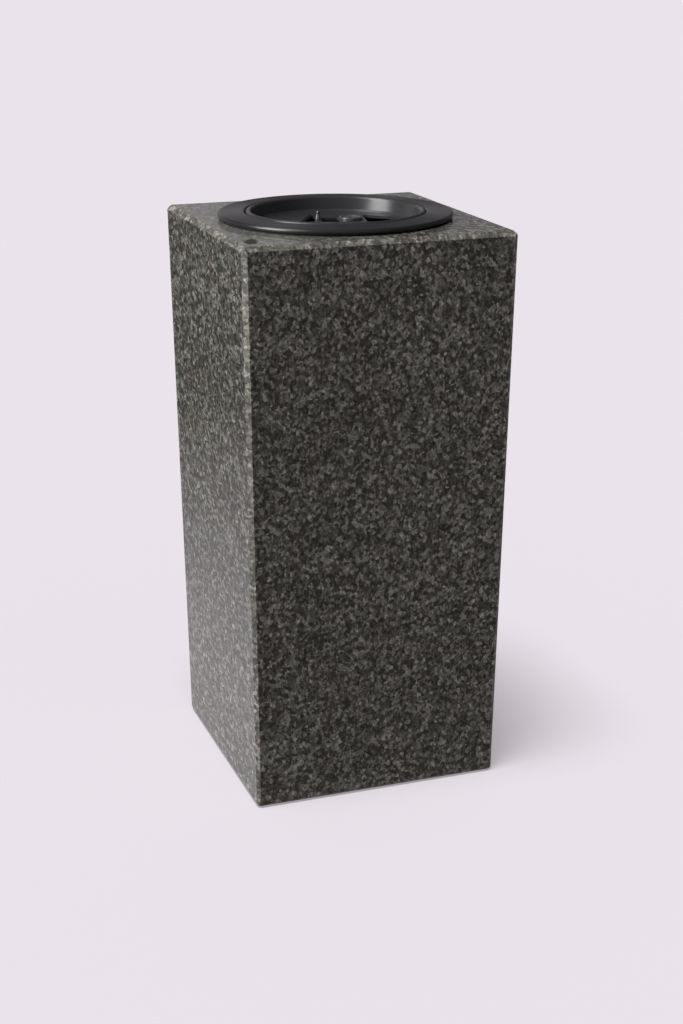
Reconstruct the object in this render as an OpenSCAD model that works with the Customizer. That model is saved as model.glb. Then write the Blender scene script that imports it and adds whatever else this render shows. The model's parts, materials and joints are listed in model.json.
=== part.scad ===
// Square granite ashtray bin: a bored stone column, a collar with a lockable stub tray, and an ash bucket.
// Millimetres, +Z up. The origin is on the ground, at the centre of the column's footprint.

/* [Column] */
// Width of the square column at its top
column_w = 300; // [290:2:340]
// Width of the column at its foot
foot_w = 280; // [276:2:300]
// Height of the stone, without its pads
column_h = 620; // [580:2:720]
// Flat arris along the top edges and at the upper end of the upright edges
arris = 5; // [2:0.5:9]
// Flat arris along the foot and at the lower end of the upright edges
foot_arris = 3.5; // [2:0.5:6]
// Diameter of the bore that holds the bucket
bore_d = 196; // [194:1:198]
// Depth of that bore below the top face
bore_depth = 430; // [400:5:460]
// Diameter of the wider mouth that holds the collar's neck
mouth_d = 206; // [205:0.5:208]
// Depth of the wider mouth
mouth_depth = 40; // [38:1:44]

/* [Underside] */
// Diameter of a foot pad
pad_d = 40; // [30:1:44]
// Height that the pads stand out below the stone
pad_proud = 1; // [0.5:0.5:4]
// Depth of the pads' recesses
pad_recess = 5; // [3:0.5:8]
// Distance of a pad's centre from the sides of the column's foot
pad_inset = 32; // [30:1:34]
// Distance between anchor sleeves, along X and along Y
anchor_spacing = 160; // [140:2:164]
// Bore of an anchor sleeve
anchor_d = 10; // [6:1:12]
// Outer diameter of an anchor sleeve
anchor_sleeve_d = 18; // [16:1:20]
// Length of an anchor sleeve
anchor_l = 60; // [40:5:90]
// Bore of the drain sleeve
drain_d = 21; // [14:1:22]
// Outer diameter of the drain sleeve
drain_sleeve_d = 26; // [25:0.5:30]
// Diameter of the drain sleeve's head
drain_head_d = 36; // [32:1:50]
// Thickness of the drain sleeve's head
drain_head_t = 2.5; // [1:0.5:4]

/* [Collar] */
// Outer diameter of the flange
flange_d = 255; // [246:1:264]
// Thickness of the flange at its inner edge
flange_t = 6; // [5.5:0.5:7]
// Fall of the flange's top towards its outer edge
flange_fall = 1; // [0:0.25:1.5]
// Rounding of the flange's outer top edge
flange_round = 3; // [1:0.5:4]
// Inner diameter of the flange, around the tray's lip
flange_in_d = 197; // [196:0.5:198]
// Inner diameter of the neck
neck_in_d = 187; // [187:0.25:188]
// Outer diameter of the neck
neck_out_d = 198; // [198:0.5:199]
// Length of the neck below the top face
neck_l = 32; // [32:0.2:32.4]
// Outer diameter of the gasket under the flange
gasket_d = 242; // [220:1:243]
// Inner diameter of the gasket
gasket_in_d = 212; // [209:1:216]
// Thickness of the gasket
gasket_t = 2; // [1:0.5:3]
// Diameter of the radial set screws
grip_screw_d = 6; // [4:1:8]
// Diameter of the pads that the set screws press on the stone
grip_pad_d = 14; // [10:1:16]
// Thickness of those pads
grip_pad_t = 2; // [1.5:0.25:2.5]
// Depth of the set screws below the top face
grip_depth = 20; // [14:1:22]

/* [Stub tray] */
// Diameter of the opening at the lip
opening_d = 183; // [180:0.5:184]
// Outer diameter of the tray's wall
tray_out_d = 185.8; // [185:0.2:186]
// Outer diameter of the lip bead
lip_d = 194; // [192:0.5:195]
// Height of the lip above the top face
lip_rise = 8.8; // [8.4:0.2:10]
// Depth of the tray's floor below the top face
floor_drop = 7; // [4:0.5:7]
// Thickness of the floor
floor_t = 3; // [2:0.5:3]
// Inward taper of the tray's inner wall
wall_taper = 1.5; // [0.5:0.25:3]
// Fillet between wall and floor
floor_fillet = 2; // [1:0.5:3]
// Outer radius of the windows in the floor
window_r = 76; // [70:1:80]
// Rounding of the windows' corners
window_round = 2.5; // [1:0.25:3]
// Radius of the raised ribs
rib_r = 1.8; // [1:0.1:1.9]
// Turn of the floor's pattern about the column's axis
grate_turn = -19.6; // [-180:0.2:180]
// Thickness of the seal under the lip
seal_t = 1; // [0.6:0.1:1.4]

/* [Lift post] */
// Height of the post above the floor
post_h = 10; // [7:0.5:12]
// Radius of the post's foot
post_foot_r = 3.4; // [2.6:0.2:3.4]
// Radius of the post's waist
post_waist_r = 1.5; // [1.2:0.1:1.8]
// Radius of the ball at its tip
post_ball_r = 2.1; // [1.9:0.1:2.6]
// Diameter of the post's thread
post_thread_d = 4; // [3:1:4]

/* [Lock] */
// Outer diameter of the lock's head
lock_head_d = 25; // [22:0.5:25]
// Height of the lock's head above the floor
lock_head_h = 3.8; // [3:0.2:5]
// Diameter of the lock housing's body
lock_body_d = 17; // [16.6:0.2:17.4]
// Diameter of the lock barrel
barrel_d = 12; // [11:0.5:12.5]
// Diameter of the barrel's head
barrel_head_d = 14.4; // [13.8:0.2:15]
// Reach of the cam from the lock's axis
cam_l = 66; // [65:0.5:69]
// Width of the cam
cam_w = 16; // [14:1:18]
// Thickness of the cam
cam_t = 3; // [2:0.5:4]

/* [Ash bucket] */
// Outer diameter of the bucket's wall
bucket_d = 166; // [160:1:166]
// Thickness of the bucket's wall
bucket_wall = 1.2; // [0.8:0.1:2]
// Depth of the bucket's rim below the top face
rim_depth = 44; // [43:1:60]
// Radius of the rolled rim
rim_r = 2.2; // [1.5:0.1:2.4]
// Height of the ring that the bucket stands on
rest_h = 8; // [4:1:16]
// Radius of the bail's arc, to the middle of the wire
bail_r = 90; // [90:0.1:90.4]
// Diameter of the bail's wire
bail_wire_d = 5; // [4:0.5:5]
// Depth of the bail's pivots below the rim
pivot_drop = 12; // [11:0.5:14]

/* [Hidden] */
$fn = 96;

// Extra length of a cutting tool past the face that it opens
cut = 1;
// Radial clearance between pieces that are fixed together
fixed_gap = 0.05;
// Radial clearance between pieces that turn in each other
running_gap = 0.05;
// End play of the turning pieces
end_play = 0.05;
// Gap between faces that are clamped on each other
seat_gap = 0.02;
// Radial clearance of the soft pads in their recesses
pad_gap = 0.3;

column_top = pad_proud + column_h;
bore_floor = column_top - bore_depth;
pad_offset = foot_w / 2 - pad_inset;

flange_under = column_top + gasket_t;
flange_top = flange_under + flange_t;
flange_bevel = 1.5;
flange_rim = flange_top - flange_fall;
flange_slope = atan(flange_fall / ((flange_d - flange_in_d) / 2 - flange_round - flange_bevel));
flange_foot_inset = 1;
ledge_rise = 3.5;
ledge_z = column_top + ledge_rise;
neck_bottom = column_top - neck_l;
grip_z = column_top - grip_depth;
grip_count = 4;
grip_screw_sunk = 0.8;
grip_screw_start_r = neck_in_d / 2 + grip_screw_sunk;
grip_pad_start_r = sqrt(pow(mouth_d / 2, 2) - pow(grip_pad_d / 2, 2)) - grip_pad_t;
grip_socket_share = 0.55;
grip_socket_d = grip_screw_d * grip_socket_share;
grip_socket_depth = 3;

lip_top = column_top + lip_rise;
lip_in_r = opening_d / 2;
lip_out_r = lip_d / 2;
lip_round = (lip_out_r - lip_in_r) / 2;
lip_under = ledge_z + seal_t;
seal_inset = 0.3;
floor_top = column_top - floor_drop;
floor_under = floor_top - floor_t;
tray_foot_bevel = 2;
arc_steps = 10;
corner_steps = 5;

// Places on the floor, in the grate's own turned frame
lock_at = [16.5, 25];
post_at = [-19, 25];
centre_window = [[-15.2, 5], [4, 5], [4, 39], [-15.2, 39]];
side_window = [[-22.4, 5], [-22.4, 51], [-27, 51], [-37, 5]];
wide_window = [[35.4, 6], [90, 6], [90, 37], [30.4, 58.5]];
rib_lines = [[[27.9, 60], [33.2, 8]], [[-29.2, 54], [-39.5, 6]], [[-18.8, 31], [-18.8, 45]]];
hub_bar = [[-38, 0], [38, 0]];

post_foot_t = 1;
post_thread_l = 16;
post_nut_t = 3.2;
post_nut_af = 7;

lock_head_top = floor_top + lock_head_h;
lock_head_r = lock_head_d / 2;
lock_below_neck = 0.6;
lock_bottom = neck_bottom - lock_below_neck;
lock_round = 1.2;
lock_rim_w = 2.4;
lock_dish = 1.2;
barrel_head_t = 1.8;
barrel_sunk = 0.9;
barrel_top = lock_head_top - barrel_sunk;
barrel_seat = barrel_top - barrel_head_t;
stem_r = 4.5;
stem_flat_w = 6.4;
cam_top = lock_bottom - 2 * end_play;
cam_under = cam_top - cam_t;
key_slot_w = 1.8;
key_slot_l = 7.5;
key_slot_depth = 6;
lock_washer_t = 1;
lock_washer_r = 12;
lock_nut_t = 6;
lock_nut_af = 20;
cam_screw_d = 4;
cam_screw_head_r = 5;
cam_screw_head_t = 2.4;
cam_screw_l = 9;
cross_slot_w = 1;
cross_slot_l = 6;
cross_slot_depth = 1.2;
lock_angle = atan2(lock_at.y, lock_at.x);

rim_z = column_top - rim_depth;
pivot_z = rim_z - pivot_drop;
bucket_r = bucket_d / 2;
bucket_under = bore_floor + rest_h;
bucket_base_t = 1.5;
bucket_bevel = 4;
bucket_bevel_in = 4.5;
rest_in_r = 54;
rest_out_r = 78;
ear_t = 1.5;
ear_w = 36;
ear_h = 14;
ear_in_r = bucket_r + seat_gap;
ear_out_r = ear_in_r + ear_t;
ear_boss_r = 5;
ear_boss_sunk = 0.3;
ear_boss_root_r = ear_in_r + ear_boss_sunk;
ear_boss_clearance = 0.3;
ear_boss_end_r = bail_r - bail_wire_d / 2 - ear_boss_clearance;
rivet_d = 4;
rivet_spacing = 25;
rivet_head_d = 6.8;
rivet_head_t = 1.2;
rivet_seat_gap = 0.1;
rivet_turn = asin(rivet_spacing / 2 / bucket_r);
pivot_end_r = ear_in_r + ear_t / 2;

// ---- shared shapes ----

// Half the column's width at a height above its foot
function half_width(z) = (foot_w + (column_w - foot_w) * z / column_h) / 2;

// Outline of a symmetric shape, from the points of its right side, bottom to top
function symmetric(side) = concat(side, [for (i = [len(side) - 1 : -1 : 0]) [-side[i].x, side[i].y]]);

// Points along an arc about a centre
function arc(centre, r, from, to, steps = arc_steps) = [
    for (i = [0 : steps]) let(a = from + (to - from) * i / steps) centre + r * [cos(a), sin(a)]
];

function unit(v) = v / norm(v);
function half_turn(a) = a > 180 ? a - 360 : (a < -180 ? a + 360 : a);

// Points of one rounded corner at b, which has the neighbours a and c
function corner(a, b, c, r) = let(
    u = unit(a - b),
    v = unit(c - b),
    half = acos(u * v) / 2,
    middle = b + unit(u + v) * r / sin(half),
    p = b + u * r / tan(half) - middle,
    q = b + v * r / tan(half) - middle,
    from = atan2(p.y, p.x)
) arc(middle, r, from, from + half_turn(atan2(q.y, q.x) - from), corner_steps);

// A closed outline with every corner rounded
function rounded(points, r) = let(n = len(points)) [
    for (i = [0 : n - 1]) each corner(points[(i + n - 1) % n], points[i], points[(i + 1) % n], r)
];

module ring(outer_r, inner_r, z, h) {
    translate([0, 0, z])
        difference() {
            cylinder(r = outer_r, h = h);
            translate([0, 0, -cut]) cylinder(r = inner_r, h = h + 2 * cut);
        }
}

module four_corners(offset) {
    for (x = [-offset, offset], y = [-offset, offset]) {
        translate([x, y, 0]) children();
    }
}

// Children stand along the radius, from the axis outwards, at each of n places round the axis
module radial(n, z, turn = 0) {
    for (i = [0 : n - 1]) {
        rotate([0, 0, turn + i * 360 / n]) translate([0, 0, z]) rotate([0, 90, 0]) children();
    }
}

module hex_nut(af, bore_r, h) {
    difference() {
        cylinder(d = af / cos(30), h = h, $fn = 6);
        translate([0, 0, -cut]) cylinder(r = bore_r, h = h + 2 * cut);
    }
}

module on_floor(place) {
    rotate([0, 0, grate_turn]) translate([place.x, place.y, 0]) children();
}

// ---- stone and underside ----

// Side view of the column: tapered, with cut corners
column_side = symmetric([
    [half_width(0) - foot_arris, 0], [half_width(foot_arris), foot_arris],
    [half_width(column_h - arris), column_h - arris], [half_width(column_h) - arris, column_h]
]);

// Side view across the diagonal, which cuts the upright edges
column_diagonal = symmetric([
    [(foot_w - foot_arris) / sqrt(2), 0], [(column_w - arris) / sqrt(2), column_h]
]);

// A side view, drawn out along the horizontal direction that is turned from -Y by turn
module drawn_out(outline, turn) {
    rotate([0, 0, turn])
        translate([0, column_w, pad_proud])
            rotate([90, 0, 0]) linear_extrude(2 * column_w) polygon(outline);
}

module column_block() {
    intersection() {
        drawn_out(column_side, 0);
        drawn_out(column_side, 90);
        drawn_out(column_diagonal, 45);
        drawn_out(column_diagonal, -45);
    }
}

module granite_body() {
    color("dimgray")
        difference() {
            column_block();
            translate([0, 0, bore_floor]) cylinder(d = bore_d, h = bore_depth + cut);
            translate([0, 0, column_top - mouth_depth]) cylinder(d = mouth_d, h = mouth_depth + cut);
            translate([0, 0, -cut]) cylinder(d = drain_sleeve_d + 2 * fixed_gap, h = bore_floor + 2 * cut);
            translate([0, 0, bore_floor - drain_head_t])
                cylinder(d = drain_head_d + 2 * fixed_gap, h = drain_head_t + cut);
            four_corners(pad_offset)
                translate([0, 0, -cut]) cylinder(d = pad_d + 2 * pad_gap, h = pad_proud + pad_recess + cut);
            four_corners(anchor_spacing / 2)
                translate([0, 0, -cut])
                    cylinder(d = anchor_sleeve_d + 2 * fixed_gap, h = pad_proud + anchor_l + cut);
        }
}

module foot_pads() {
    color("black")
        four_corners(pad_offset) cylinder(d = pad_d, h = pad_proud + pad_recess);
}

module anchor_sleeves() {
    color("silver")
        four_corners(anchor_spacing / 2) ring(anchor_sleeve_d / 2, anchor_d / 2, pad_proud, anchor_l);
}

module drain_sleeve() {
    sleeve_top = bore_floor - drain_head_t;
    color("slategray")
        union() {
            ring(drain_sleeve_d / 2, drain_d / 2, pad_proud, sleeve_top - pad_proud);
            ring(drain_head_d / 2, drain_d / 2, sleeve_top, drain_head_t);
        }
}

module bucket_rest_ring() {
    color("black")
        ring(rest_out_r, rest_in_r, bore_floor, rest_h);
}

// ---- collar ----

module rim_gasket() {
    color("black")
        ring(gasket_d / 2, gasket_in_d / 2, column_top, gasket_t);
}

// Section of flange and neck: neck wall, flange with a rounded rim, bevelled mouth, ledge for the tray
collar_section = concat(
    [[neck_in_d / 2, neck_bottom], [neck_out_d / 2, neck_bottom], [neck_out_d / 2, flange_under]],
    [[flange_d / 2 - flange_foot_inset, flange_under]],
    arc([flange_d / 2 - flange_round, flange_rim - flange_round], flange_round, 0, 90 - flange_slope),
    [[flange_in_d / 2 + flange_bevel, flange_top], [flange_in_d / 2, flange_top - flange_bevel]],
    [[flange_in_d / 2, ledge_z], [neck_in_d / 2, ledge_z]]
);

module collar_ring() {
    color("#1b1b1d")
        difference() {
            rotate_extrude() polygon(collar_section);
            radial(grip_count, grip_z) cylinder(d = grip_screw_d, h = mouth_d / 2);
        }
}

module collar_screws() {
    screw_l = grip_pad_start_r - grip_screw_start_r;
    color("silver")
        radial(grip_count, grip_z)
            translate([0, 0, grip_screw_start_r])
                difference() {
                    cylinder(d = grip_screw_d - 2 * fixed_gap, h = screw_l);
                    translate([0, 0, -cut]) cylinder(d = grip_socket_d, h = grip_socket_depth + cut, $fn = 6);
                }
}

module grip_pads() {
    color("black")
        radial(grip_count, grip_z)
            translate([0, 0, grip_pad_start_r]) cylinder(d = grip_pad_d, h = grip_pad_t);
}

// ---- stub tray ----

// Section of the tray: floor, tapered wall, round lip bead
tray_section = concat(
    [[0, floor_under], [tray_out_d / 2 - tray_foot_bevel, floor_under]],
    [[tray_out_d / 2, floor_under + tray_foot_bevel], [tray_out_d / 2, lip_under], [lip_out_r, lip_under]],
    arc([lip_out_r - lip_round, lip_top - lip_round], lip_round, 0, 180),
    [[lip_in_r - wall_taper, floor_top + floor_fillet]],
    [[lip_in_r - wall_taper - floor_fillet, floor_top], [0, floor_top]]
);

module window(outline) {
    translate([0, 0, floor_under - cut])
        linear_extrude(floor_t + 2 * cut) polygon(rounded(outline, window_round));
}

// A round bar half sunk in the floor, with ball ends
module rib(line) {
    along = line[1] - line[0];
    translate([line[0].x, line[0].y, floor_top]) {
        rotate([0, 90, atan2(along.y, along.x)]) cylinder(r = rib_r, h = norm(along));
        sphere(r = rib_r);
    }
    translate([line[1].x, line[1].y, floor_top]) sphere(r = rib_r);
}

module floor_windows() {
    window(centre_window);
    window(side_window);
    intersection() {
        window(wide_window);
        translate([0, 0, floor_under - 2 * cut]) cylinder(r = window_r, h = floor_t + 4 * cut);
    }
}

module stub_tray() {
    color("#202022")
        union() {
            difference() {
                rotate_extrude() polygon(tray_section);
                for (half = [0, 180]) {
                    rotate([0, 0, grate_turn + half]) floor_windows();
                }
                on_floor(lock_at)
                    translate([0, 0, floor_under - cut])
                        cylinder(d = lock_body_d + 2 * fixed_gap, h = floor_t + 2 * cut);
                on_floor(post_at)
                    translate([0, 0, floor_under - cut])
                        cylinder(d = post_thread_d + 2 * fixed_gap, h = floor_t + 2 * cut);
            }
            for (half = [0, 180], line = rib_lines) {
                rotate([0, 0, grate_turn + half]) rib(line);
            }
            rotate([0, 0, grate_turn]) rib(hub_bar);
        }
}

module tray_seal() {
    color("black")
        ring(lip_out_r - seal_inset, tray_out_d / 2 + fixed_gap, ledge_z, seal_t);
}

module lift_post() {
    ball_z = floor_top + post_h - post_ball_r;
    color("#2c2c2e")
        on_floor(post_at)
            union() {
                translate([0, 0, floor_top - post_thread_l]) cylinder(d = post_thread_d, h = post_thread_l);
                translate([0, 0, floor_top]) cylinder(r = post_foot_r, h = post_foot_t);
                translate([0, 0, floor_top + post_foot_t])
                    cylinder(r1 = post_foot_r, r2 = post_waist_r, h = ball_z - floor_top - post_foot_t);
                translate([0, 0, ball_z]) sphere(r = post_ball_r);
            }
}

module lift_post_nut() {
    color("silver")
        on_floor(post_at)
            translate([0, 0, floor_under - post_nut_t])
                hex_nut(post_nut_af, post_thread_d / 2 + fixed_gap, post_nut_t);
}

// ---- lock ----

// Section of the lock housing: bored body, head with a raised rim round a shallow dish
lock_section = concat(
    [[barrel_d / 2 + running_gap, lock_bottom], [lock_body_d / 2, lock_bottom]],
    [[lock_body_d / 2, floor_top + seat_gap], [lock_head_r, floor_top + seat_gap]],
    arc([lock_head_r - lock_round, lock_head_top - lock_round], lock_round, 0, 90, corner_steps),
    [[lock_head_r - lock_rim_w, lock_head_top]],
    [[lock_head_r - lock_rim_w - lock_dish, lock_head_top - lock_dish]],
    [[barrel_head_d / 2 + running_gap, lock_head_top - lock_dish]],
    [[barrel_head_d / 2 + running_gap, barrel_seat], [barrel_d / 2 + running_gap, barrel_seat]]
);

module lock_housing() {
    color("#242426")
        on_floor(lock_at) rotate_extrude() polygon(lock_section);
}

module lock_washer() {
    color("silver")
        on_floor(lock_at)
            ring(lock_washer_r, lock_body_d / 2 + fixed_gap, floor_under - lock_washer_t, lock_washer_t);
}

module lock_nut() {
    color("goldenrod")
        on_floor(lock_at)
            translate([0, 0, floor_under - lock_washer_t - lock_nut_t])
                hex_nut(lock_nut_af, lock_body_d / 2 + fixed_gap, lock_nut_t);
}

// Round bar of radius r with two flats, w apart
module flatted_bar(r, w, h) {
    intersection() {
        cylinder(r = r, h = h);
        translate([-w / 2, -r, 0]) cube([w, 2 * r, h]);
    }
}

module lock_barrel() {
    color("#2c2c2e")
        on_floor(lock_at)
            difference() {
                union() {
                    translate([0, 0, lock_bottom])
                        cylinder(d = barrel_d, h = barrel_seat + end_play - lock_bottom);
                    translate([0, 0, barrel_seat + end_play])
                        cylinder(d = barrel_head_d, h = barrel_head_t - end_play);
                    translate([0, 0, cam_under + end_play])
                        flatted_bar(stem_r, stem_flat_w, cam_t + 2 * end_play);
                }
                translate([-key_slot_w / 2, -key_slot_l / 2, barrel_top - key_slot_depth])
                    cube([key_slot_w, key_slot_l, key_slot_depth + cut]);
                translate([0, 0, cam_under - cut])
                    cylinder(d = cam_screw_d + 2 * fixed_gap, h = cam_screw_l + 2 * cut);
            }
}

// Arm from the barrel, turned a quarter turn back from the direction that points to the nearest neck wall
module lock_cam() {
    color("silver")
        on_floor(lock_at)
            rotate([0, 0, lock_angle - 90])
                translate([0, 0, cam_under])
                    difference() {
                        union() {
                            cylinder(d = cam_w, h = cam_t);
                            translate([0, -cam_w / 2, 0]) cube([cam_l - cam_w / 2, cam_w, cam_t]);
                            translate([cam_l - cam_w / 2, 0, 0]) cylinder(d = cam_w, h = cam_t);
                        }
                        rotate([0, 0, 90 - lock_angle])
                            translate([0, 0, -cut])
                                flatted_bar(stem_r + fixed_gap, stem_flat_w + 2 * fixed_gap, cam_t + 2 * cut);
                    }
}

module cam_screw() {
    color("silver")
        on_floor(lock_at)
            difference() {
                union() {
                    translate([0, 0, cam_under - cam_screw_head_t])
                        cylinder(r = cam_screw_head_r, h = cam_screw_head_t);
                    translate([0, 0, cam_under]) cylinder(d = cam_screw_d, h = cam_screw_l);
                }
                for (turn = [0, 90]) {
                    rotate([0, 0, turn])
                        translate([-cross_slot_l / 2, -cross_slot_w / 2, cam_under - cam_screw_head_t - cut])
                            cube([cross_slot_l, cross_slot_w, cross_slot_depth + cut]);
                }
            }
}

// ---- ash bucket ----

// Section of the sheet that makes the bucket's base and wall
bucket_section = [
    [0, bucket_under],
    [bucket_r - bucket_bevel, bucket_under],
    [bucket_r, bucket_under + bucket_bevel],
    [bucket_r, rim_z - rim_r],
    [bucket_r - bucket_wall, rim_z - rim_r],
    [bucket_r - bucket_wall, bucket_under + bucket_bevel_in],
    [bucket_r - bucket_bevel_in, bucket_under + bucket_base_t],
    [0, bucket_under + bucket_base_t]
];

// Holes of the rivets, on both sides of each ear's pivot
module rivet_places() {
    for (side = [0, 180], way = [-1, 1]) {
        radial(1, pivot_z, side + way * rivet_turn) children();
    }
}

module ash_bucket() {
    color("gray")
        difference() {
            union() {
                rotate_extrude() polygon(bucket_section);
                translate([0, 0, rim_z - rim_r]) rotate_extrude() translate([bucket_r, 0]) circle(r = rim_r);
            }
            rivet_places() cylinder(d = rivet_d + 2 * fixed_gap, h = bucket_r + cut);
        }
}

module bucket_ears() {
    color("gray")
        difference() {
            union() {
                intersection() {
                    ring(ear_out_r, ear_in_r, pivot_z - ear_h / 2, ear_h);
                    translate([-bail_r, -ear_w / 2, pivot_z - ear_h]) cube([2 * bail_r, ear_w, 2 * ear_h]);
                }
                radial(2, pivot_z)
                    translate([0, 0, ear_boss_root_r])
                        cylinder(r = ear_boss_r, h = ear_boss_end_r - ear_boss_root_r);
            }
            radial(2, pivot_z) cylinder(d = bail_wire_d + 2 * running_gap, h = bail_r);
            rivet_places() cylinder(d = rivet_d + 2 * fixed_gap, h = bail_r);
        }
}

module ear_rivets() {
    inner_head_r = bucket_r - bucket_wall - rivet_seat_gap;
    color("silver")
        rivet_places() {
            translate([0, 0, inner_head_r - rivet_head_t]) cylinder(d = rivet_head_d, h = rivet_head_t);
            translate([0, 0, inner_head_r - rivet_head_t])
                cylinder(d = rivet_d, h = ear_out_r + 2 * rivet_head_t - inner_head_r);
            translate([0, 0, ear_out_r]) cylinder(d = rivet_head_d, h = rivet_head_t);
        }
}

// Half ring of wire, folded flat, with its ends turned inwards into the ears
module bail_handle() {
    color("silver")
        translate([0, 0, pivot_z])
            union() {
                rotate_extrude(angle = 180) translate([bail_r, 0]) circle(d = bail_wire_d);
                radial(2, 0) {
                    translate([0, 0, pivot_end_r]) cylinder(d = bail_wire_d, h = bail_r - pivot_end_r);
                    translate([0, 0, bail_r]) sphere(d = bail_wire_d);
                }
            }
}

granite_body();
foot_pads();
anchor_sleeves();
drain_sleeve();
bucket_rest_ring();
rim_gasket();
collar_ring();
collar_screws();
grip_pads();
stub_tray();
tray_seal();
lift_post();
lift_post_nut();
lock_housing();
lock_washer();
lock_nut();
lock_barrel();
lock_cam();
cam_screw();
ash_bucket();
bucket_ears();
ear_rivets();
bail_handle();
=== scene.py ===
"""Looks of the granite ashtray bin: procedural materials, edge rounding, a pale studio and the camera."""
import json
import math

import bpy
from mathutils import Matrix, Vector


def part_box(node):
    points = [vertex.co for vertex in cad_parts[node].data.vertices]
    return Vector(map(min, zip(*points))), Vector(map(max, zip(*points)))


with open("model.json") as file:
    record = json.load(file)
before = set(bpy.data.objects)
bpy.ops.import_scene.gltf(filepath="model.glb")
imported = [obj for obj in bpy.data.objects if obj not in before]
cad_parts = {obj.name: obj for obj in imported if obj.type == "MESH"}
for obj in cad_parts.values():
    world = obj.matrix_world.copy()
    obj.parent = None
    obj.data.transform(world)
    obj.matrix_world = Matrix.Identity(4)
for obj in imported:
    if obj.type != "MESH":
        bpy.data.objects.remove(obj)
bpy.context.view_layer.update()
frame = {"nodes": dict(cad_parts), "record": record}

NODES = frame["nodes"]
COLOURS = {entry["slot"]: tuple(entry["base_color"][:3]) for entry in frame["record"]["materials"]}
MM = 0.001

# ---- sizes that the looks need, all read from the frame ----

LEVEL_TOLERANCE = 0.01 * MM
FOOT_ZONE = 10 * MM

STONE_LOW, STONE_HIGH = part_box("granite_body")
STONE_FOOT = STONE_LOW.z
STONE_TOP = STONE_HIGH.z
STONE_WIDTH = STONE_HIGH.x - STONE_LOW.x
STONE_POINTS = [NODES["granite_body"].matrix_world @ v.co for v in NODES["granite_body"].data.vertices]


def stone_points_at(level):
    """The stone's mesh points at one height."""
    return [p for p in STONE_POINTS if abs(p.z - level) < LEVEL_TOLERANCE]


TOP_POINTS = stone_points_at(STONE_TOP)
FOOT_POINTS = stone_points_at(STONE_FOOT)
MOUTH_RADIUS = min(math.hypot(p.x, p.y) for p in TOP_POINTS)
TOP_HALF_WIDTH = STONE_HIGH.x
TOP_ARRIS = TOP_HALF_WIDTH - max(p.x for p in TOP_POINTS)
FOOT_HALF_WIDTH = max(p.x for p in STONE_POINTS if p.z < STONE_FOOT + FOOT_ZONE)
FOOT_ARRIS = FOOT_HALF_WIDTH - max(p.x for p in FOOT_POINTS)


# ---- node building ----

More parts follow.
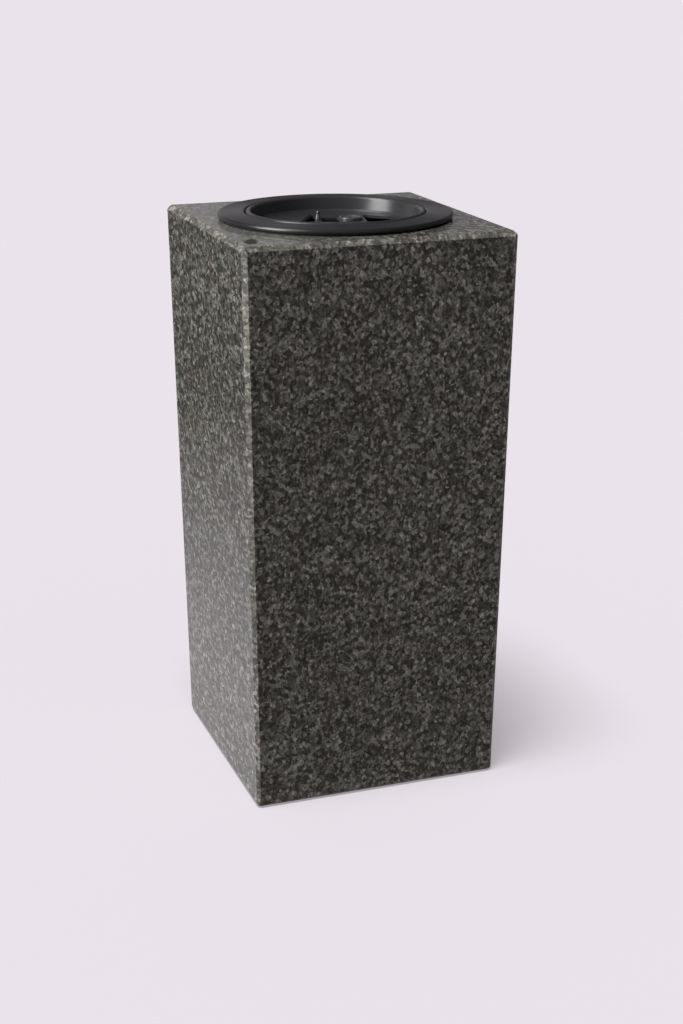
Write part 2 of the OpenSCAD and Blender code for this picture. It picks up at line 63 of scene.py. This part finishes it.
class Graph:
    """The node tree of a material or of the world, with short calls for the nodes that they share."""

    def __init__(self, owner, output="ShaderNodeOutputMaterial", place="Object"):
        owner.use_nodes = True
        self.owner = owner
        self.tree = owner.node_tree
        self.tree.nodes.clear()
        self.output = self.tree.nodes.new(output)
        self.place = self.add("ShaderNodeTexCoord").outputs[place]

    def add(self, kind, inputs=None, **settings):
        """A new node. inputs maps a socket's name or number to a value or to another node's output."""
        node = self.tree.nodes.new(kind)
        for key, value in settings.items():
            setattr(node, key, value)
        for key, value in (inputs or {}).items():
            if isinstance(value, bpy.types.NodeSocket):
                self.tree.links.new(value, node.inputs[key])
            else:
                node.inputs[key].default_value = value
        return node

    def math(self, operation, a, b=0.0, clamp=False):
        node = self.add("ShaderNodeMath", {0: a, 1: b}, operation=operation, use_clamp=clamp)
        return node.outputs[0]

    def product(self, first, *others):
        for value in others:
            first = self.math("MULTIPLY", first, value)
        return first

    def largest(self, first, *others):
        for value in others:
            first = self.math("MAXIMUM", first, value)
        return first

    def weighted(self, *terms):
        """The sum of value times weight, over (value, weight) pairs."""
        total = 0.0
        for value, weight in terms:
            total = self.math("ADD", total, self.math("MULTIPLY", value, weight))
        return total

    def span(self, value, low, high, to_low=0.0, to_high=1.0, curve="LINEAR"):
        """value, mapped from low..high to to_low..to_high and kept inside it."""
        return self.add(
            "ShaderNodeMapRange",
            {"Value": value, "From Min": low, "From Max": high, "To Min": to_low, "To Max": to_high},
            interpolation_type=curve,
        ).outputs["Result"]

    def vector(self, x, y, z):
        return self.add("ShaderNodeCombineXYZ", {0: x, 1: y, 2: z}).outputs[0]

    def vector_math(self, operation, inputs, output="Vector"):
        return self.add("ShaderNodeVectorMath", inputs, operation=operation).outputs[output]

    def axes(self, vector=None):
        """The x, y and z of a vector, as three outputs."""
        vector = self.place if vector is None else vector
        return self.add("ShaderNodeSeparateXYZ", {0: vector}).outputs

    def scaled(self, factors):
        """The place, multiplied by a factor along each axis."""
        return self.add("ShaderNodeMapping", {"Vector": self.place, "Scale": factors}).outputs[0]

    def radius(self):
        """Distance from the column's axis."""
        x, y, _ = self.axes()
        return self.vector_math("LENGTH", {0: self.vector(x, y, 0.0)}, "Value")

    def noise(self, scale, detail, roughness=0.5, vector=None, output="Fac"):
        vector = self.place if vector is None else vector
        return self.add(
            "ShaderNodeTexNoise",
            {"Vector": vector, "Scale": scale, "Detail": detail, "Roughness": roughness},
        ).outputs[output]

    def cells(self, scale, vector=None):
        """Random colours, one to each cell of a Voronoi pattern."""
        vector = self.place if vector is None else vector
        return self.add("ShaderNodeTexVoronoi", {"Vector": vector, "Scale": scale}).outputs["Color"]

    def ramp(self, factor, *stops):
        """Colour along factor. Each stop is (position, (r, g, b))."""
        node = self.add("ShaderNodeValToRGB", {"Fac": factor})
        elements = node.color_ramp.elements
        while len(elements) < len(stops):
            elements.new(0.5)
        for element, (position, colour) in zip(elements, stops):
            element.position = position
            element.color = (*colour, 1.0)
        return node.outputs["Color"]

    def mix(self, factor, a, b, blend="MIX"):
        """Colour a, mixed with colour b by factor."""
        a, b = (opaque(colour) for colour in (a, b))
        node = self.add("ShaderNodeMix", {0: factor, 6: a, 7: b}, data_type="RGBA", blend_type=blend)
        return node.outputs[2]

    def tint(self, colour, gain):
        return self.mix(1.0, colour, gain, "MULTIPLY")

    def bump(self, height, distance, strength, normal=None):
        inputs = {"Height": height, "Distance": distance, "Strength": strength}
        if normal is not None:
            inputs["Normal"] = normal
        return self.add("ShaderNodeBump", inputs).outputs["Normal"]

    def light(self, kind, colour, strength):
        """An emission or a background shader."""
        return self.add(kind, {"Color": opaque(colour), "Strength": strength}).outputs[0]

    def either(self, factor, a, b):
        """Shader a, mixed with shader b by factor."""
        return self.add("ShaderNodeMixShader", {0: factor, 1: a, 2: b}).outputs[0]

    def finish(self, shader):
        """Makes a shader the surface, and returns the material or the world."""
        self.tree.links.new(shader, self.output.inputs["Surface"])
        return self.owner

    def principled(self, **inputs):
        """Finishes the material with a Principled surface. Keys are its socket names with _ for a space."""
        named = {key.replace("_", " "): value for key, value in inputs.items()}
        return self.finish(self.add("ShaderNodeBsdfPrincipled", named).outputs[0])


def opaque(colour):
    """A colour as a socket takes it: a plain (r, g, b) gets its alpha, and another node's output stays."""
    return (*colour, 1.0) if isinstance(colour, tuple) else colour


def darker(colour, factor):
    return tuple(c * factor for c in colour)


# ---- granite ----

GRAIN_STRETCH = (1.0, 0.58, 0.84)
GRAIN_RAGGEDNESS = 3.2 * MM
GRAINS_PER_METRE = 290
FLECKS_PER_METRE = 480
RAGS_PER_METRE = 430
CLOUDS_PER_METRE = 120
HUES_PER_METRE = 52
POLISHED_ROUGHNESS = 0.12
RAW_ROUGHNESS = 0.55
STONE_SHEEN = 0.15
KNOT_SHEEN = 0.03
BROWN_GAIN = (1.025, 0.99, 0.985)
GREEN_GAIN = (0.965, 1.004, 0.98)
KNOT_COLOUR = (0.028, 0.027, 0.024)
KNOT_HALF_SIZE = (7.5 * MM, 17.0 * MM, 3.0 * MM)
KNOT_TURN = math.radians(-12)
KNOT_FROM_LEFT = 18 * MM
KNOT_FROM_FRONT = 31 * MM
HONED_GAIN = (1.95, 1.90, 1.84)
HONED_DUST = (0.150, 0.142, 0.136)
HONED_DUST_COVER = 0.16
BORDER_NARROWEST = -0.9 * MM
BORDER_WIDEST = 1.5 * MM
# painted shade: honed faces that look up, such as the top arrises, keep only this share of their colour
LEVEL_EDGE_PAINTED_SHADE = 0.76
ARRIS_FOOT_TONE = 0.62
ARRIS_TOP_TONE = 1.0
# a paler film laid over the level top, growing towards -X
FILM_PALE_COLOUR = (0.180, 0.172, 0.165)
FILM_STARTS = 40 * MM
FILM_FULL = -140 * MM
FILM_COVER = 0.30


def granite(slot):
    """Dark polished granite: brown and green-black grains, pale honed arrises, rough cored bore."""
    g = Graph(bpy.data.materials.new(slot))
    dark_spot = knot(g)
    stone = g.mix(dark_spot, crystals(g), KNOT_COLOUR)
    normal = g.add("ShaderNodeNewGeometry").outputs["True Normal"]
    nx, ny, nz = g.axes(g.vector_math("ABSOLUTE", {0: normal}))
    chamfers = g.span(g.largest(nx, ny, nz), 0.985, 0.92)
    bore = g.span(g.radius(), MOUTH_RADIUS + 0.5 * MM, MOUTH_RADIUS - 0.5 * MM)
    raw = g.largest(chamfers, worn_border(g), bore, dark_spot)
    film = g.mix(pale_film_cover(g, nz, dark_spot), stone, FILM_PALE_COLOUR)
    colour = g.mix(g.math("SUBTRACT", raw, dark_spot, clamp=True), film, honed(g, stone, nz))
    wavy = g.bump(g.noise(14, 2), 0.9 * MM, 0.35)
    return g.principled(
        Base_Color=colour,
        Roughness=g.span(raw, 0, 1, POLISHED_ROUGHNESS, RAW_ROUGHNESS),
        Specular_IOR_Level=g.span(dark_spot, 0, 1, STONE_SHEEN, KNOT_SHEEN),
        Normal=g.bump(g.noise(900, 3, 0.6), 0.25 * MM, g.span(raw, 0, 1, 0.02, 0.8), wavy),
    )


def crystals(g):
    """The polished stone's colour: ragged grains, smaller flecks and a soft cloud, drawn out along Y."""
    fabric = g.scaled(GRAIN_STRETCH)
    rags = g.noise(RAGS_PER_METRE, 3, vector=fabric, output="Color")
    jitter = g.vector_math("ADD", {0: rags, 1: (-0.5, -0.5, -0.5)})
    offset = g.vector_math("SCALE", {0: jitter, "Scale": GRAIN_RAGGEDNESS})
    bent = g.vector_math("ADD", {0: fabric, 1: offset})
    grains = g.axes(g.cells(GRAINS_PER_METRE, bent))[0]
    flecks = g.axes(g.cells(FLECKS_PER_METRE, bent))[1]
    cloud = g.noise(CLOUDS_PER_METRE, 3, vector=fabric)
    stone = g.ramp(
        g.weighted((grains, 0.50), (flecks, 0.30), (cloud, 0.20)),
        (0.08, (0.0150, 0.0148, 0.0124)),
        (0.34, (0.0285, 0.0280, 0.0240)),
        (0.56, (0.0600, 0.0588, 0.0518)),
        (0.78, (0.1370, 0.1340, 0.1200)),
        (0.97, (0.2850, 0.2800, 0.2580)),
    )
    hue = g.span(g.noise(HUES_PER_METRE, 2, vector=fabric), 0.43, 0.60)
    return g.mix(hue, g.tint(stone, BROWN_GAIN), g.tint(stone, GREEN_GAIN))


def knot(g):
    """A dark lens-shaped inclusion in the top face, near its front left corner: 1 inside, 0 outside."""
    lens = g.add("ShaderNodeMapping", {
        "Vector": g.place,
        "Location": (KNOT_FROM_LEFT - TOP_HALF_WIDTH, KNOT_FROM_FRONT - TOP_HALF_WIDTH, STONE_TOP),
        "Rotation": (0, 0, KNOT_TURN),
        "Scale": KNOT_HALF_SIZE,
    }, vector_type="TEXTURE").outputs[0]
    distance = g.vector_math("LENGTH", {0: lens}, "Value")
    ragged = g.math("ADD", distance, g.span(g.noise(260, 2), 0.3, 0.7, -0.35, 0.35))
    return g.span(ragged, 1.05, 0.85)


def worn_border(g):
    """Ragged pale borders beside the arrises, up to about 1.5 mm wide: 1 on them, 0 elsewhere."""
    x, y, z = g.axes(g.vector_math("ABSOLUTE", {0: g.place}))
    half = g.span(z, STONE_FOOT, STONE_TOP, FOOT_HALF_WIDTH, TOP_HALF_WIDTH)
    arris = g.span(z, STONE_FOOT, STONE_TOP, FOOT_ARRIS, TOP_ARRIS)
    upright = g.math("SUBTRACT", g.math("SUBTRACT", g.math("MULTIPLY", half, 2.0), arris),
                     g.math("ADD", x, y))
    upper = g.math("SUBTRACT", g.math("ADD", half, STONE_TOP - TOP_ARRIS),
                   g.math("ADD", g.math("MAXIMUM", x, y), z))
    gap = g.math("MINIMUM", upright, upper)
    reach = g.span(g.noise(240, 4, 0.65), 0.42, 0.66, BORDER_NARROWEST, BORDER_WIDEST)
    return g.span(g.math("SUBTRACT", gap, reach), 0.25 * MM, -0.05 * MM)


def honed(g, stone, nz):
    """The stone's colour where it is honed, not polished; where it faces up it is darkened as painted shade.
    The upright arrises grow paler with height.
    """
    dusty = g.mix(HONED_DUST_COVER, g.tint(stone, HONED_GAIN), HONED_DUST)
    upright = g.span(nz, 0.3, 0.1)
    by_height = g.span(g.axes()[2], STONE_FOOT, STONE_TOP, ARRIS_FOOT_TONE, ARRIS_TOP_TONE)
    # painted shade: level honed faces take the darker level-edge factor, upright ones the height factor
    change = g.math("SUBTRACT", by_height, LEVEL_EDGE_PAINTED_SHADE)
    tone = g.math("ADD", LEVEL_EDGE_PAINTED_SHADE, g.math("MULTIPLY", upright, change))
    return g.tint(dusty, g.vector(tone, tone, tone))


def pale_film_cover(g, nz, dark_spot):
    """How much a paler film covers the level top: more towards -X, and none on the dark spot."""
    level = g.span(nz, 0.98, 0.995)
    leftward = g.span(g.axes()[0], FILM_STARTS, FILM_FULL, 0.0, FILM_COVER)
    clear = g.span(dark_spot, 0.0, 1.0, 1.0, 0.0)
    return g.product(level, leftward, clear)


# ---- metals, rubber and plastic ----

DRAWN_LINES_PER_METRE = (1500, 1500, 60)
SPANGLES_PER_METRE = 95
MOULD_GRAINS_PER_METRE = 900


def turned_metal(slot, roughness, spacing, depth, shade):
    """Black coated metal with fine turned rings about the column's axis, paler in spots."""
    g = Graph(bpy.data.materials.new(slot))
    _, _, z = g.axes()
    across = g.math("MULTIPLY", g.radius(), 1 / spacing)
    rings = g.noise(1.0, 3, 0.6, g.vector(across, 0.0, g.math("MULTIPLY", z, 1 / spacing)))
    smear = g.noise(38, 3, 0.6)
    dust = g.span(g.noise(420, 4, 0.7), 0.60, 0.78, 0.0, 0.35)
    uneven = g.weighted((rings, 0.4), (smear, 0.6))
    return g.principled(
        Base_Color=g.mix(dust, darker(COLOURS[slot], shade), COLOURS[slot]),
        Metallic=0.0,
        Roughness=g.span(uneven, 0.3, 0.7, roughness - 0.06, roughness + 0.08),
        Specular_IOR_Level=0.65,
        Anisotropic=0.85,
        Anisotropic_Rotation=0.25,
        Tangent=g.add("ShaderNodeTangent", direction_type="RADIAL", axis="Z").outputs[0],
        Normal=g.bump(rings, depth, 0.5),
    )


def brushed(slot, roughness):
    """Metal with fine lines drawn along Z, and darker stains."""
    g = Graph(bpy.data.materials.new(slot))
    lines = g.noise(1.0, 3, 0.6, g.scaled(DRAWN_LINES_PER_METRE))
    stain = g.span(g.noise(70, 4, 0.6), 0.45, 0.75)
    return g.principled(
        Base_Color=g.mix(stain, darker(COLOURS[slot], 0.62), darker(COLOURS[slot], 0.42)),
        Metallic=1.0,
        Roughness=g.span(lines, 0.3, 0.7, roughness - 0.07, roughness + 0.1),
        Normal=g.bump(lines, 0.05 * MM, 0.4),
    )


def galvanised(slot):
    """Zinc-coated sheet with spangle."""
    g = Graph(bpy.data.materials.new(slot))
    tone, gloss, _ = g.axes(g.cells(SPANGLES_PER_METRE))
    return g.principled(
        Base_Color=g.mix(tone, darker(COLOURS[slot], 0.50), darker(COLOURS[slot], 0.78)),
        Metallic=0.85,
        Roughness=g.span(gloss, 0, 1, 0.50, 0.68),
        Normal=g.bump(g.noise(300, 3), 0.08 * MM, 0.4),
    )


def moulded(slot, roughness):
    """Rubber or plastic with a fine moulded grain and pale scuffs."""
    g = Graph(bpy.data.materials.new(slot))
    grain = g.noise(MOULD_GRAINS_PER_METRE, 4, 0.6)
    scuff = g.span(g.noise(60, 4, 0.65), 0.5, 0.75, 0.0, 0.5)
    return g.principled(
        Base_Color=g.mix(scuff, COLOURS[slot], darker(COLOURS[slot], 1.8)),
        Roughness=g.span(grain, 0.3, 0.7, roughness - 0.08, roughness + 0.06),
        Normal=g.bump(grain, 0.12 * MM, 0.5),
    )


FINISHES = {
    "granite": (granite, {}),
    "collar": (turned_metal, {"roughness": 0.34, "spacing": 0.55 * MM, "depth": 0.04 * MM, "shade": 0.45}),
    "tray": (turned_metal, {"roughness": 0.33, "spacing": 0.8 * MM, "depth": 0.06 * MM, "shade": 0.75}),
    "lock_head": (turned_metal, {"roughness": 0.25, "spacing": 0.6 * MM, "depth": 0.03 * MM, "shade": 1.0}),
    "lock_brass": (brushed, {"roughness": 0.34}),
    "steel": (brushed, {"roughness": 0.48}),
    "galvanised": (galvanised, {}),
    "rubber": (moulded, {"roughness": 0.78}),
    "drain_plastic": (moulded, {"roughness": 0.6}),
}
ROUNDINGS = {
    "granite_body": 0.4 * MM,
    "collar_ring": 0.4 * MM,
    "lock_housing": 0.3 * MM,
    "lock_barrel": 0.2 * MM,
}
ROUNDING_SEGMENTS = 3
SHARP_ANGLE = math.radians(28)
WELD_REACH = 0.002 * MM


def dress_nodes():
    """Gives each CAD node its finished material."""
    materials = {slot: make(slot, **settings) for slot, (make, settings) in FINISHES.items()}
    for part in frame["record"]["subparts"]:
        mesh = NODES[part["node"]].data
        mesh.materials.clear()
        mesh.materials.append(materials[part["material_slot"]])


def round_edges(node, width):
    """Rounds a CAD node's sharp edges a little, with modifiers only."""
    weld = NODES[node].modifiers.new("weld", "WELD")
    weld.merge_threshold = WELD_REACH
    bevel = NODES[node].modifiers.new("rounding", "BEVEL")
    bevel.width = width
    bevel.segments = ROUNDING_SEGMENTS
    bevel.limit_method = "ANGLE"
    bevel.angle_limit = SHARP_ANGLE
    bevel.use_clamp_overlap = True
    even = NODES[node].modifiers.new("flat faces stay flat", "WEIGHTED_NORMAL")
    even.mode = "FACE_AREA"
    even.weight = 100


dress_nodes()
for rounded_node, rounding in ROUNDINGS.items():
    round_edges(rounded_node, rounding)


# ---- studio ----

PALE = (0.823, 0.768, 0.823)
BLACK = (0.0, 0.0, 0.0)
FILL = 0.21
FLOOR_HALF_SIZE = 90.0
FLOOR_GLOW = 0.36
FLOOR_REFLECTS_UNTIL = 0.15
FLOOR_REFLECTION_ENDS = 1.72
FLOOR_FRONT_STARTS = -0.11
FLOOR_FRONT_DARK = -0.20
FLOOR_DIMMING = 0.97
REFLECTED_LOW = 0.42
REFLECTED_HIGH = 0.07
REFLECTED_RIGHT = 0.30
ROOM_FADE_STARTS = math.radians(11)
ROOM_FADE_ENDS = math.radians(25)
ROOM_RIGHT_STARTS = 0.20
ROOM_RIGHT_FULL = 0.60


def direction(azimuth, elevation):
    """Unit vector to a direction in degrees: azimuth 0 is the front (-Y) and 90 the right (+X)."""
    a, e = math.radians(azimuth), math.radians(elevation)
    return Vector((math.sin(a) * math.cos(e), -math.cos(a) * math.cos(e), math.sin(e)))


def make_floor():
    """A pale seamless floor. In the polished stone it shows bright only beside and behind the column."""
    half = FLOOR_HALF_SIZE
    corners = [(-half, -half, 0), (half, -half, 0), (half, half, 0), (-half, half, 0)]
    mesh = bpy.data.meshes.new("floor")
    mesh.from_pydata(corners, [], [(0, 1, 2, 3)])
    floor = bpy.data.objects.new("floor", mesh)
    bpy.context.scene.collection.objects.link(floor)
    g = Graph(bpy.data.materials.new("floor"))
    glossy = g.add("ShaderNodeLightPath").outputs["Is Glossy Ray"]
    far = g.span(g.radius(), FLOOR_REFLECTS_UNTIL, FLOOR_REFLECTION_ENDS, curve="SMOOTHSTEP")
    front = g.span(g.axes()[1], FLOOR_FRONT_STARTS, FLOOR_FRONT_DARK)
    dim = g.math("MULTIPLY", glossy, g.math("MULTIPLY", g.largest(far, front), FLOOR_DIMMING))
    lit = g.add("ShaderNodeBsdfDiffuse", {"Color": g.mix(dim, PALE, BLACK)}).outputs[0]
    glow = g.light("ShaderNodeEmission", PALE, g.math("SUBTRACT", 1.0, dim))
    mesh.materials.append(g.finish(g.either(FLOOR_GLOW, lit, glow)))
    return floor


def make_world():
    """Pale to the camera, soft fill for matte surfaces, and in reflections dark overhead and to the right."""
    world = bpy.data.worlds.new("studio")
    bpy.context.scene.world = world
    g = Graph(world, "ShaderNodeOutputWorld", "Generated")
    ray = g.add("ShaderNodeLightPath").outputs
    x, _, z = g.axes()
    upward = g.span(z, math.sin(ROOM_FADE_STARTS), math.sin(ROOM_FADE_ENDS), REFLECTED_LOW, REFLECTED_HIGH)
    rightward = g.span(x, ROOM_RIGHT_STARTS, ROOM_RIGHT_FULL, 1.0, REFLECTED_RIGHT)
    fill = g.light("ShaderNodeBackground", PALE, FILL)
    reflected = g.light("ShaderNodeBackground", PALE, g.math("MULTIPLY", upward, rightward))
    seen = g.light("ShaderNodeBackground", PALE, 1.0)
    g.finish(g.either(ray["Is Camera Ray"], g.either(ray["Is Glossy Ray"], fill, reflected), seen))


def make_sun(name, towards, angle, strength, shines=True, skips=()):
    """A soft light, angle degrees wide. shines lets reflections show it, and skips are left unlit by it."""
    data = bpy.data.lights.new(name, "SUN")
    data.energy = strength
    data.angle = math.radians(angle)
    light = bpy.data.objects.new(name, data)
    light.visible_glossy = shines
    bpy.context.scene.collection.objects.link(light)
    light.rotation_euler = towards.to_track_quat("Z", "Y").to_euler()
    if skips:
        receivers = bpy.data.collections.new(name + "_receivers")
        for thing in skips:
            receivers.objects.link(thing)
        for linked in receivers.collection_objects:
            linked.light_linking.link_state = "EXCLUDE"
        light.light_linking.receiver_collection = receivers


FLOOR = make_floor()
make_world()
make_sun("overhead", direction(-55, 77), angle=22, strength=2.70, shines=False)
make_sun("side_low", direction(-86, 20), angle=34, strength=3.6, skips=(FLOOR,))
make_sun("side_high", direction(-84, 48), angle=36, strength=1.5, skips=(FLOOR,))


# ---- camera ----

CAMERA_AZIMUTH = -19.686
CAMERA_ELEVATION = 18.409
CAMERA_DISTANCE = 6.7951
CAMERA_RIGHT = 0.0226
CAMERA_UP = -0.0851
CAMERA_LENS = 62.936
CAMERA_SENSOR = 36.0
CAMERA_REACH = 300


def make_camera():
    """Stands to the left of the front face and looks down on the column. Its place is in column widths."""
    away = direction(CAMERA_AZIMUTH, CAMERA_ELEVATION)
    right = (-away).cross(Vector((0, 0, 1))).normalized()
    up = right.cross(-away)
    middle = Vector((0, 0, (STONE_FOOT + STONE_TOP) / 2))
    data = bpy.data.cameras.new("camera")
    data.sensor_width = CAMERA_SENSOR
    data.lens = CAMERA_LENS
    data.clip_end = CAMERA_REACH
    camera = bpy.data.objects.new("camera", data)
    bpy.context.scene.collection.objects.link(camera)
    camera.location = middle + STONE_WIDTH * (away * CAMERA_DISTANCE + right * CAMERA_RIGHT + up * CAMERA_UP)
    camera.rotation_euler = (-away).to_track_quat("-Z", "Y").to_euler()
    bpy.context.scene.camera = camera


make_camera()
bpy.context.scene.view_settings.view_transform = "Standard"
